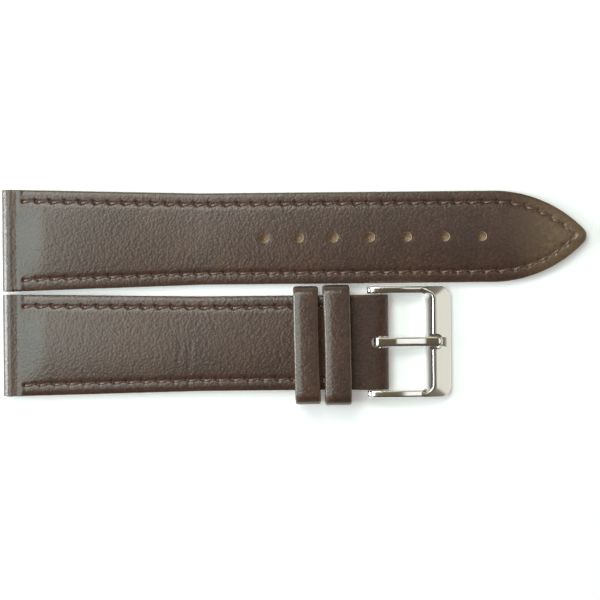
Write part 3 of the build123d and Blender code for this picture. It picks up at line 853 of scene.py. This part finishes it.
class STRAP_OT_short_piece(bpy.types.Operator):
    """Make the short piece: its cover, folded round the buckle bar and slotted, and its lining"""

    bl_idname = "strap.short_piece"
    bl_label = "Short piece"

    def execute(self, context):
        sizes, stitch = in_mm(context.scene.strap_sizes), in_mm(context.scene.strap_stitches)
        left = short_box[0].x / MM
        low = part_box("short_lining")[0].z / MM
        middle = middle_of(short_box)[1]
        bar = middle_of(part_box("bar_tube"))[::2]
        fold = short_box[1].x / MM - bar[0]
        bore = fold - COVER
        lining_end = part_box("short_lining")[1].x / MM
        pad_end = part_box("short_filler")[1].x / MM + PAD_OVERHANG
        holes = needle_holes(loose_parts("short_top_stitches"))
        half, narrow = sizes.lug_width / 2, sizes.buckle_end_width / 2
        floor = low + sizes.lining_height
        top = floor + sizes.margin_height
        ramp, crest = bar[0] - CLIMB, (bar[0] - CREST, bar[1] + fold)
        outline = [
            (left + LUG_FLAT, half),
            (left + sizes.taper_start, half),
            (left + sizes.taper_start + sizes.taper_length, narrow),
            (ramp, narrow),
        ]

        def on_rows(x):
            """How much of the groove there is: all of it along the stitch rows."""
            start = ease(x, left + ROWS_START, left + ROWS_FULL)
            return start * (1 - ease(x, lining_end - ROWS_STOP, lining_end - ROWS_END))

        plain = padded_rise(sizes, stitch)

        def rise(depth, share, section, x, y):
            """The pad's height, with the creases that a strap gets where it bends most."""
            crease = 0
            for place, slant, near, far in CREASES:
                along = ease(y, near, near + 2.5) * (1 - ease(y, far - 2.5, far))
                bend = place + slant * y + 0.18 * math.sin(1.3 * y + place)
                crease += along * math.exp(-(((x - bend) / CREASE_WIDTH) ** 2))
            return plain(depth, share, section, x, y) - CREASE_DEPTH * crease * section.pad

        sections = lug_sections(left, low, sizes)
        sections += outline_sections(
            outline, floor, sizes.margin_height, (0, 1),
            lambda x: ease(x, left + LUG_FLAT, left + PAD_FULL) * (1 - ease(x, pad_end - PAD_END_SLOPE, pad_end)),
            on_rows,
        )
        # Past the pad the leather climbs to the crest, goes over the bar and back under it to the lining's end
        round_bar = arc(bar, bore, 230, 90, 6)
        for n in range(1, 21):
            share = n / 21
            outer = (ramp + (crest[0] - ramp) * share, top + (crest[1] - top) * (1 - (1 - share) ** 2.6))
            inner = (outer[0], floor) if outer[0] < round_bar[0][0] - 0.9 else round_bar[min(6, max(0, n - 15))]
            sections.append(between(inner, outer, narrow))
        inner = arc(bar, bore, 90, -90, 24)
        nose = [(crest[0] + (x - bar[0]) * (fold + CREST) / fold, z) for x, z in arc(bar, fold, 90, 0, 12)]
        outer = nose + arc(bar, fold, 0, -90, 12)[1:]
        sections += [between(a, b, narrow) for a, b in zip(inner, outer)]
        steps = 22
        for n in range(1, steps + 1):
            x = bar[0] + (lining_end - bar[0]) * n / steps
            sections.append(between((x, low + COVER), (x, low), narrow))
        cover = leather_piece(
            "short_cover_leather", sections, middle, 0, sizes.margin_fall, rise, finish("satin_calf_leather"), holes,
            swell=lambda x: lug_lift(x, left, low, sizes),
        )
        # The slot for the tongue's eye, 2.3 mm wide with round ends
        slot = rounded_block((bar[0] + 0.2, middle, bar[1]), (4, 2.3, 8), 1.12)
        cut(cover, slot, finish("cut_leather"))
        settle(cover, "short_strap", "short_cover")

        outline = [(left + TURN_UNDER + LINING_GAP, half), *outline[1:3], (lining_end - LINING_GAP, narrow)]
        sections = outline_sections(outline, floor, sizes.lining_height, (0, -1), nothing, on_rows)
        lining = leather_piece(
            "short_lining_leather", sections, middle, sizes.lining_inset, 0, flat_rise(stitch),
            finish("tan_lining_leather"), holes,
        )
        settle(lining, "short_strap", "short_lining")
        dress("short_filler", "pressed_fibre_board")
        return {"FINISHED"}


def stitch_model(length, width, lift):
    """One stitch: thread that comes up out of its hole, lies along the groove and dives into the next hole."""
    # It is thickest and highest just after its first hole, and lies a little slantwise
    rows = []
    for n in range(13):
        share = n / 12
        x = (share - 0.5) * length
        rise = lift - 0.3 * ease(share, 0.25, 0.9) - 0.5 * ease(share, 0.84, 1.1)
        rise -= 0.55 * (1 - ease(share, -0.1, 0.2))
        thick = width / 2 * (1.04 - 0.36 * ease(share, 0.35, 1))
        lean = 0.09 * (ease(share, 0.1, 0.9) - 0.5)
        rows.append(
            [(x, lean + thick * math.cos(a), rise + thick * math.sin(a), 0)
             for a in (2 * math.pi * k / 8 for k in range(9))]
        )
    return grid_piece("stitch_model", rows, finish("bonded_polyester_thread"))


def sewn_row(name, model, places):
    """Copies one stitch to each place and joins the copies into one piece."""
    chance = random.Random(7)
    work = bmesh.new()
    for centre, angle, flip in places:
        first = len(work.verts)
        work.from_mesh(model.data)
        work.verts.ensure_lookup_table()
        turn = Matrix.Rotation(angle + math.radians(chance.uniform(-2.5, 2.5)), 4, "Z")
        over = Matrix.Rotation(math.pi if flip else 0, 4, "X")
        size = Matrix.Diagonal((chance.uniform(0.96, 1.03), chance.uniform(0.93, 1.07), 1, 1))
        shift = Matrix.Translation(Vector(centre) * MM)
        bmesh.ops.transform(work, matrix=shift @ turn @ over @ size, verts=work.verts[first:])
    mesh = bpy.data.meshes.new(name)
    work.to_mesh(mesh)
    work.free()
    mesh.materials.append(finish("bonded_polyester_thread"))
    piece = bpy.data.objects.new(name, mesh)
    bpy.context.collection.objects.link(piece)
    return piece


class STRAP_OT_stitching(bpy.types.Operator):
    """Sew both rows of both pieces, on the best side and on the lining side"""

    bl_idname = "strap.stitching"
    bl_label = "Stitching"

    def execute(self, context):
        sizes, stitch = in_mm(context.scene.strap_sizes), in_mm(context.scene.strap_stitches)
        left = long_box[0].x / MM
        lows = {"long": 0, "short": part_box("short_lining")[0].z / MM}
        model = stitch_model(STITCH_LENGTH, stitch.thread, 0.16)
        for strap in ("long", "short"):
            for side in ("top", "bobbin"):
                node = f"{strap}_{side}_stitches"
                places = []
                for low, high, angle in loose_parts(node):
                    middle = (low + high) / 2
                    height = low.z + STITCH_LEVELS[side]
                    if side == "top":
                        height += lug_lift(middle.x, left, lows[strap], sizes)
                    places.append(((middle.x, middle.y, height), angle, side == "bobbin"))
                row = sewn_row(f"{strap}_{side}_thread", model, places)
                settle(row, f"{strap}_strap", node)
        bpy.data.objects.remove(model)
        return {"FINISHED"}


# A keeper band's rounded edge, as the distance from its side and the level from 0 inside to 1 outside; how far the
# band's middle arches over the strap; and how wide its edge is painted paler, as rubbing and as a painted highlight
BAND_EDGE = ((0.32, 0), (0.04, 0.12), (0, 0.35), (0.03, 0.6), (0.14, 0.82), (0.34, 0.95), (0.7, 1))
BAND_BULGE = 0.16
BAND_EDGE_WEAR_AND_HIGHLIGHT = 0.6


def band(name, node, wall, inset, dome, edges, material):
    """A leather band round the strap: a closed loop with domed outer face, rounded edges and a slight lean."""
    sizes = in_mm(bpy.context.scene.strap_keepers)
    low, high = (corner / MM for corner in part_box(node))
    middle = (low.y + high.y) / 2
    half, corner = (high.y - low.y) / 2, sizes.corner - inset
    loop = []
    for cy, cz, first in (
        (half - corner, high.z - corner, 0),
        (corner - half, high.z - corner, 90),
        (corner - half, low.z + corner, 180),
        (half - corner, low.z + corner, 270),
    ):
        loop += arc((cy, cz), corner, first, first + 90, 10)
    loop.append(loop[0])
    path = even_steps(loop, 0.4)
    rows = []
    count = len(path) - 1
    for n in range(count + 1):
        # The way out of the loop, and how much this part of the loop faces up
        (ay, az), (by, bz) = path[(n - 1) % count], path[(n + 1) % count]
        y, z = path[n % count]
        run = math.hypot(by - ay, bz - az)
        out = ((bz - az) / run, (ay - by) / run)
        top = ease(out[1], 0.2, 1)
        # The band's two sides run through their offsets at its near end, its middle and its far end
        far = 0.5 + y / half / 2
        weights = (2 * (far - 0.5) * (far - 1), -4 * far * (far - 1), 2 * far * (far - 0.5))
        first = low.x + sum(w * edge for w, edge in zip(weights, edges[0]))
        last = high.x + sum(w * edge for w, edge in zip(weights, edges[1]))
        across = [(first + share * (last - first), 0, 0) for share in (0.75, 0.5, 0.25)]
        across += [(first + a, level, 0) for a, level in BAND_EDGE]
        for share in (0.2, 0.3, 0.4, 0.5, 0.6, 0.7, 0.8):
            across.append((first + share * (last - first), 1, math.sin(math.pi * share**0.85)))
        across += [(last - a, level, 0) for a, level in BAND_EDGE[::-1]]
        across.append(across[0])
        row = []
        for x, level, swell in across:
            bulge = BAND_BULGE * (1 - (y / half) ** 2) * ease(level, 0.3, 1) if dome else 0
            reach = (level - 1) * wall + top * (bulge + dome * swell)
            # The band's edges are painted paler, partly as rubbing and partly as a painted highlight where their
            # rounding catches light
            worn_and_lit = max(0, 1 - min(x - first, last - x) / BAND_EDGE_WEAR_AND_HIGHLIGHT) if level > 0.3 else 0
            row.append((x, middle + y + out[0] * reach, z + out[1] * reach, worn_and_lit))
        rows.append(row)
    return grid_piece(name, rows, material)


class STRAP_OT_keepers(bpy.types.Operator):
    """Make the fixed and the free keeper: their bands, linings and tacks"""

    bl_idname = "strap.keepers"
    bl_label = "Keepers"

    def execute(self, context):
        sizes, stitch = in_mm(context.scene.strap_keepers), in_mm(context.scene.strap_stitches)
        model = stitch_model(stitch.tack, stitch.thread * 0.8, 0.02)
        # How far each band's left and right edges stand off, at its near end, its middle and its far end
        leans = {
            "fixed_keeper": ((0, 0, -sizes.lean), (0, -sizes.lean / 3, -sizes.lean)),
            "free_keeper": ((sizes.lean, sizes.lean / 3, 0), (0, -sizes.lean, -1.2 * sizes.lean)),
        }
        for keeper, body in (("fixed_keeper", "short_strap"), ("free_keeper", "free_keeper")):
            outer = band(
                keeper + "_band", keeper + "_cover", sizes.wall, 0, sizes.dome, leans[keeper],
                finish("satin_calf_leather"),
            )
            settle(outer, body, keeper + "_cover")
            inner = band(
                keeper + "_backing", keeper + "_lining", sizes.lining, sizes.wall, 0, leans[keeper],
                finish("tan_lining_leather"),
            )
            settle(inner, body, keeper + "_lining")
            places = []
            for low, high, _ in loose_parts(keeper + "_stitches"):
                centre = (low + high) / 2
                places.append(((centre.x, centre.y, low.z + STITCH_LEVELS["tack"]), math.pi / 2, True))
            tacks = sewn_row(keeper + "_tacks", model, places)
            settle(tacks, body, keeper + "_stitches")
        bpy.data.objects.remove(model)
        return {"FINISHED"}


def rounded_loop(corners, radii):
    """A closed profile with each of its corners rounded, always with the same number of points."""
    loop = []
    for n, (corner, radius) in enumerate(zip(corners, radii)):
        before, after = corners[n - 1], corners[(n + 1) % len(corners)]
        ways = []
        for other in (before, after):
            run = math.dist(corner, other)
            reach = min(radius, 0.45 * run)
            ways.append(tuple(c + (o - c) * reach / run for c, o in zip(corner, other)))
        for k in range(5):
            t = k / 4
            loop.append(
                tuple((1 - t) ** 2 * a + 2 * t * (1 - t) * c + t * t * b for a, c, b in zip(ways[0], corner, ways[1]))
            )
    loop.append(loop[0])
    return loop


# How high the end of the frame is held off the ground
FRAME_FOOT = 0.1
# The frame's profile, as pairs of its measures on an arm and on the end plate: where the narrow flat on top starts and
# ends, how far the outer wall leans in, and the radii of the corners from the window's foot round to the outer foot
FLAT_START, FLAT_END, WALL_LEAN = (0.8, 1.3), (1.1, 1.9), (0, 0.3)
PROFILE_RADII = ((0.2, 0.2), (0.22, 0.22), (0.6, 0.1), (0.2, 0.12), (0.15, 0.3), (0.25, 0.25))
# How high the end plate's wall is at the window and outside
PLATE_WALLS = (1.2, 1.0)


def frame_rows(metal, box, middle, bar):
    """Profiles all the way round the buckle frame: near arm, corner, end bar, corner, far arm."""
    gap, outer = metal.frame_gap / 2, (box[1].y - box[0].y) / 2 / MM
    start, end = box[0].x / MM, box[1].x / MM
    window = bar[0] + metal.window
    inner_mid, outer_mid = window - metal.window_corner, end - metal.frame_corner
    half = (gap - metal.window_corner, outer - metal.frame_corner)
    stations = []
    # Each station has its inner and outer point in plan, and its share of the way from arm to end plate
    for n in range(7):
        x = start + metal.arm_round * (1 - math.cos(math.pi / 2 * n / 6)) + 0.02
        stations.append(((x, gap), (x, outer), 0))
    for n in range(1, 17):
        x = start + metal.arm_round + (inner_mid - start - metal.arm_round) * n / 16
        stations.append(((x, gap), (x, outer), 0))
    inner = arc((inner_mid, half[0]), metal.window_corner, 90, 0, 20)
    rim = [(inner_mid, outer)] + arc((outer_mid, half[1]), metal.frame_corner, 90, 0, 24) + [(end, half[0])]
    for n, (a, b) in enumerate(zip(inner[1:], even_count(rim, 20)[1:])):
        stations.append((a, b, ease(n / 19, 0.1, 1)))
    for n in range(1, 13):
        y = half[0] * (1 - n / 12)
        stations.append(((window, y), (end, y), 1))
    stations += [((ax, -ay), (bx, -by), turn) for (ax, ay), (bx, by), turn in stations[:-1][::-1]]
    rows = []
    for (ax, ay), (bx, by), turn in stations:
        across = math.dist((ax, ay), (bx, by))
        way = ((bx - ax) / across, (by - ay) / across)
        x = max(ax, start + 0.02)
        share = min(max((x - start - metal.arm_round) / (window - start - metal.arm_round), 0), 1)
        arch = 4 * metal.arch * share * (1 - share)
        top = metal.arm_top + (metal.ridge_top - metal.arm_top) * share + arch
        foot = bar[1] - metal.arm_round + (FRAME_FOOT - bar[1] + metal.arm_round) * share + arch
        foot += (FRAME_FOOT - foot) * turn
        top += (metal.ridge_top - top) * turn
        if x < start + metal.arm_round:
            reach = math.sqrt(metal.arm_round**2 - (start + metal.arm_round - x) ** 2)
            top, foot = bar[1] + reach, bar[1] - reach
        drop = min(0.26, 0.2 * (top - foot))

        def mix(arm, plate):
            """A measure that changes from the arm's to the end plate's as the frame turns its corner."""
            return arm + (plate - arm) * turn

        # From the window's foot up its wall to the narrow flat on top, and down the outer slope
        corners = [
            (0, foot),
            (0, mix(top - 0.35 * drop, PLATE_WALLS[0])),
            (mix(*FLAT_START), top),
            (mix(*FLAT_END), top),
            (across, mix(top - 0.8 * drop, PLATE_WALLS[1])),
            (across - mix(*WALL_LEAN), foot),
        ]
        radii = [mix(*pair) for pair in PROFILE_RADII]
        rows.append([
            (ax + way[0] * s, middle + ay + way[1] * s, z, 0) for s, z in rounded_loop(corners, radii)
        ])
    return rows


# Where round the bar the tongue's strip begins, in degrees, how far it goes round, and how square its shoulder is
EYE_START, EYE_TURN, EYE_SQUARE = 300, 210, 3.4
# How much thicker the shank is than the eye where it leaves it, and further on
SHANK_THICKER = (0.2, 0.15)
# The share of the shank where the tip gets thinner, and the share of the tongue where it gets narrower
TIP_THINNER, TIP_NARROWER = 0.93, 0.96


def tongue_rows(metal, box, middle, bar):
    """Profiles along the tongue: a strip bent round the bar, then the shank, and the rounded tip in its notch."""
    top, end = box[1].z / MM, box[1].x / MM
    outer = top - bar[1]
    path = []
    for n in range(31):
        angle = math.radians(EYE_START - EYE_TURN * n / 30)
        thick = metal.eye_wall + SHANK_THICKER[0] * ease(n, 18, 30)
        way = (math.cos(angle), math.sin(angle))
        reach = outer - thick / 2
        if way[0] < 0 < way[1]:
            square = (abs(way[0]) ** EYE_SQUARE + abs(way[1]) ** EYE_SQUARE) ** (-1 / EYE_SQUARE)
            reach = outer * square - thick / 2
        path.append((bar[0] + reach * way[0], bar[1] + reach * way[1], way, thick))
    for n in range(1, 31):
        share = n / 30
        x = bar[0] + (end - bar[0]) * share
        slope = min(max((share - 0.22) / 0.53, 0), 1)
        z = top + (metal.tip_top - top) * (0.7 * slope + 0.3 * ease(slope, 0, 1))
        thick = metal.eye_wall + SHANK_THICKER[0] + SHANK_THICKER[1] * ease(share, 0.1, 0.5)
        tip = ease(share, TIP_THINNER, 1) ** 2
        thick *= 1 - 0.45 * tip
        path.append((x, z - thick / 2 - 0.12 * tip, (0.06, 1), thick))
    rows = []
    count = len(path) - 1
    for n, (x, z, way, thick) in enumerate(path):
        share = n / count
        half = metal.tongue_width / 2 * (1.06 - 0.12 * ease(share, 0.35, 0.6) + 0.1 * ease(share, 0.78, 0.93))
        half *= 1 - 0.5 * ease(share, TIP_NARROWER, 1) ** 2
        if n < 3:
            half *= (0.6, 0.85, 0.96)[n]
        loop = rounded_loop(
            [(-half, -thick / 2), (-half, thick / 2 - 0.16), (-half * 0.66, thick / 2), (half * 0.72, thick / 2),
             (half, thick / 2 - 0.16), (half, -thick / 2)],
            (0.15, 0.2, 0.25, 0.2, 0.2, 0.15),
        )
        rows.append([(x + way[0] * up, middle + side, z + way[1] * up, 0) for side, up in loop])
    return rows


class STRAP_OT_buckle(bpy.types.Operator):
    """Make the pin buckle: its frame, its tongue and the finish of its sprung bar"""

    bl_idname = "strap.buckle"
    bl_label = "Buckle"

    def execute(self, context):
        metal = in_mm(context.scene.strap_buckle)
        polished = finish("polished_steel")
        box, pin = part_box("buckle_frame"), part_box("buckle_tongue")
        middle = middle_of(box)[1]
        bar = middle_of(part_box("bar_tube"))[::2]
        shape = grid_piece("polished_frame", frame_rows(metal, box, middle, bar), polished)
        # The notch that the tongue's tip rests in, 3.1 mm wide with a round end
        notch = rounded_block((box[1].x / MM - 4.6, middle, metal.notch_floor + 3), (6, 3.1, 6), 1.5)
        cut(shape, notch, polished)
        settle(shape, "buckle", "buckle_frame")
        tongue = grid_piece("polished_tongue", tongue_rows(metal, pin, middle, bar), polished)
        settle(tongue, "tongue", "buckle_tongue")
        for node in ("bar_tube", "bar_tip_near", "bar_tip_far", "bar_spring"):
            dress(node, "spring_steel")
        return {"FINISHED"}


def rays_of(tree, *kinds):
    """1 for light rays of any of the kinds, else 0."""
    rays = add_node(tree, "ShaderNodeLightPath")
    share = rays[kinds[0]]
    for kind in kinds[1:]:
        share = maths(tree, "MAXIMUM", share, rays[kind])
    return share


def pale_floor():
    """A plain pale floor, which looks a little lighter than it shines on the pieces."""
    bpy.ops.object.select_all(action="DESELECT")
    bpy.ops.mesh.primitive_plane_add(size=4)
    floor = bpy.context.object
    floor.name = "floor"
    material, tree, shader, _ = new_finish("pale_floor")
    plug(tree, shader, {"Base Color": linear("#f6f6f6"), "Roughness": 0.9, "Specular IOR Level": 0})
    seen = rays_of(tree, "Is Camera Ray", "Is Glossy Ray", "Is Transmission Ray")
    glow = add_node(tree, "ShaderNodeEmission", None, {"Strength": maths(tree, "MULTIPLY", seen, 0.2)})[0]
    lit = add_node(tree, "ShaderNodeAddShader", None, {0: shader.outputs[0], 1: glow})[0]
    plug(tree, tree.nodes["Material Output"], {0: lit})
    floor.data.materials.append(material)


# The room that polished metal sees, along X and along Y: how far across from 0 to 1, and the colour there. It is dim
# overhead, white to both sides, gold behind and grey in front
ROOM = (
    ((0, "#ffffff"), (0.2, "#e6e4dc"), (0.36, "#8f8878"), (0.46, "#544d3e"), (0.6, "#544c3c"), (0.72, "#6b6557"),
     (0.9, "#8f897b"), (0.94, "#f2f2e6"), (1, "#f2f2e6")),
    ((0, "#5e6160"), (0.2, "#525148"), (0.46, "#5d5443"), (0.6, "#716a55"), (0.76, "#d6c9a8"), (0.85, "#e9dcba"),
     (1, "#fff8e6")),
)
# A small bright panel overhead to the right, which the tongue's slope shows: its middle along X and along Y, and how
# far out its full light and its last light are
PANEL = ((0.32, 0.08, 0.11), (0.14, 0.2, 0.26))
# Each light's name, colour, radiance, size, place, and the point that it faces if that isn't the floor right under it
LIGHTS = (
    ("far_window", "#deffff", 4.8, (0.16, 0.36), (-0.29, 0.05, 0.5), None),
    ("window", "#e2fff8", 4.3, (0.08, 0.36), (-0.17, 0.05, 0.5), None),
    ("near_window", "#ffe6d6", 2.35, (0.08, 0.36), (-0.09, 0.05, 0.5), None),
    ("high_window", "#f4fff8", 7.4, (0.4, 0.2), (-0.2, 0.34, 0.5), None),
    ("side_window", "#f4fdff", 17.0, (0.11, 0.34), (-0.42, 0.0, 0.12), (-0.03, 0, 0.01)),
)
# The camera's height over the strap, the width that it sees there, its place in millimetres and its turn in degrees
CAMERA_DISTANCE, CAMERA_VIEW = 0.28, 117.3 * MM
CAMERA_PLACE, CAMERA_TURN = (0.94, -0.84, 2.5), -0.55


def bright_room(scene):
    """Surroundings that light the pieces evenly, show white behind them, and give polished metal a room to mirror."""
    scene.world = bpy.data.worlds.new("bright_room")
    scene.world.use_nodes = True
    tree = scene.world.node_tree
    sides = add_node(
        tree, "ShaderNodeSeparateXYZ", None, {0: add_node(tree, "ShaderNodeTexCoord")["Generated"]}
    )
    walls, panel = [], []
    for side, stops, (middle, full, end) in zip(sides, ROOM, PANEL):
        node = tree.nodes.new("ShaderNodeValToRGB")
        plug(tree, node, {0: remap(tree, side, -1, 1)})
        ramp = node.color_ramp
        ramp.elements[0].color, ramp.elements[1].color = linear(stops[0][1]), linear(stops[-1][1])
        for position, colour in stops[1:-1]:
            ramp.elements.new(position).color = linear(colour)
        walls.append(node.outputs[0])
        off = maths(tree, "ABSOLUTE", maths(tree, "SUBTRACT", side, middle))
        panel.append(remap(tree, off, full, end, 1, 0))
    # Level metal sees the room along Y, and metal that slopes along X sees it along X
    level = remap(tree, maths(tree, "ABSOLUTE", sides[0]), 0.12, 0.3, 0.9, 0)
    room = blend(tree, level, *walls)
    room = blend(tree, maths(tree, "MULTIPLY", *panel), room, (1.25, 1.25, 1.2, 1))
    mirrored = add_node(tree, "ShaderNodeBackground", None, {"Color": room, "Strength": 1.0})[0]
    soft = add_node(tree, "ShaderNodeBackground", None, {"Color": linear("#fff6ee"), "Strength": 0.27})[0]
    white = add_node(tree, "ShaderNodeBackground", None, {"Color": (1, 1, 1, 1), "Strength": 1.0})[0]
    shiny = rays_of(tree, "Is Glossy Ray", "Is Transmission Ray")
    unseen = add_node(tree, "ShaderNodeMixShader", None, {0: shiny, 1: soft, 2: mirrored})[0]
    shown = add_node(tree, "ShaderNodeMixShader", None, {0: rays_of(tree, "Is Camera Ray"), 1: unseen, 2: white})[0]
    plug(tree, tree.nodes["World Output"], {0: shown})


class STRAP_OT_stage(bpy.types.Operator):
    """Set up the pale floor, the soft lights, the surroundings and the camera"""

    bl_idname = "strap.stage"
    bl_label = "Stage"

    def execute(self, context):
        scene = context.scene
        scene.view_settings.view_transform = "Standard"
        pale_floor()
        bright_room(scene)
        for name, colour, radiance, size, place, target in LIGHTS:
            light = bpy.data.lights.new(name, "AREA")
            light.shape = "RECTANGLE"
            light.size, light.size_y = size
            light.energy = radiance * math.pi * size[0] * size[1]
            light.color = linear(colour)[:3]
            holder = bpy.data.objects.new(name, light)
            context.collection.objects.link(holder)
            holder.location = place
            if target:
                holder.rotation_euler = (Vector(target) - Vector(place)).to_track_quat("-Z", "Y").to_euler()

        camera = bpy.data.cameras.new("camera")
        holder = bpy.data.objects.new("camera", camera)
        context.collection.objects.link(holder)
        x, y, z = (length * MM for length in CAMERA_PLACE)
        holder.location = (x, y, CAMERA_DISTANCE + z)
        holder.rotation_euler = (0, 0, math.radians(CAMERA_TURN))
        camera.lens = camera.sensor_width * CAMERA_DISTANCE / CAMERA_VIEW
        camera.clip_start, camera.clip_end = 0.01, 20
        scene.camera = holder
        return {"FINISHED"}


class STRAP_PT_panel(bpy.types.Panel):
    """The strap's pieces and their settings"""

    bl_idname = "STRAP_PT_panel"
    bl_label = "Watch strap"
    bl_space_type = "VIEW_3D"
    bl_region_type = "UI"
    bl_category = "Strap"

    def draw(self, context):
        layout = self.layout
        for operator in OPERATORS:
            layout.operator(operator.bl_idname)
        for name in GROUPS:
            group = getattr(context.scene, name)
            box = layout.box()
            for key in type(group).__annotations__:
                box.prop(group, key)


GROUPS = {
    "strap_sizes": StrapSizes,
    "strap_stitches": StitchSizes,
    "strap_keepers": KeeperSizes,
    "strap_buckle": BuckleSizes,
    "strap_colours": StrapColours,
}
OPERATORS = (
    STRAP_OT_long_piece,
    STRAP_OT_short_piece,
    STRAP_OT_stitching,
    STRAP_OT_keepers,
    STRAP_OT_buckle,
    STRAP_OT_stage,
)


def register():
    """Registers the classes and puts the settings on the scene."""
    for kind in (*GROUPS.values(), *OPERATORS, STRAP_PT_panel):
        bpy.utils.register_class(kind)
    for name, group in GROUPS.items():
        setattr(bpy.types.Scene, name, PointerProperty(type=group))


def unregister():
    """Takes the settings and the classes away again."""
    for name in GROUPS:
        delattr(bpy.types.Scene, name)
    for kind in (STRAP_PT_panel, *OPERATORS[::-1], *list(GROUPS.values())[::-1]):
        bpy.utils.unregister_class(kind)


def main():
    """Makes every piece in order."""
    register()
    bpy.ops.strap.long_piece()
    bpy.ops.strap.short_piece()
    bpy.ops.strap.stitching()
    bpy.ops.strap.keepers()
    bpy.ops.strap.buckle()
    bpy.ops.strap.stage()


if __name__ == "__main__":
    main()
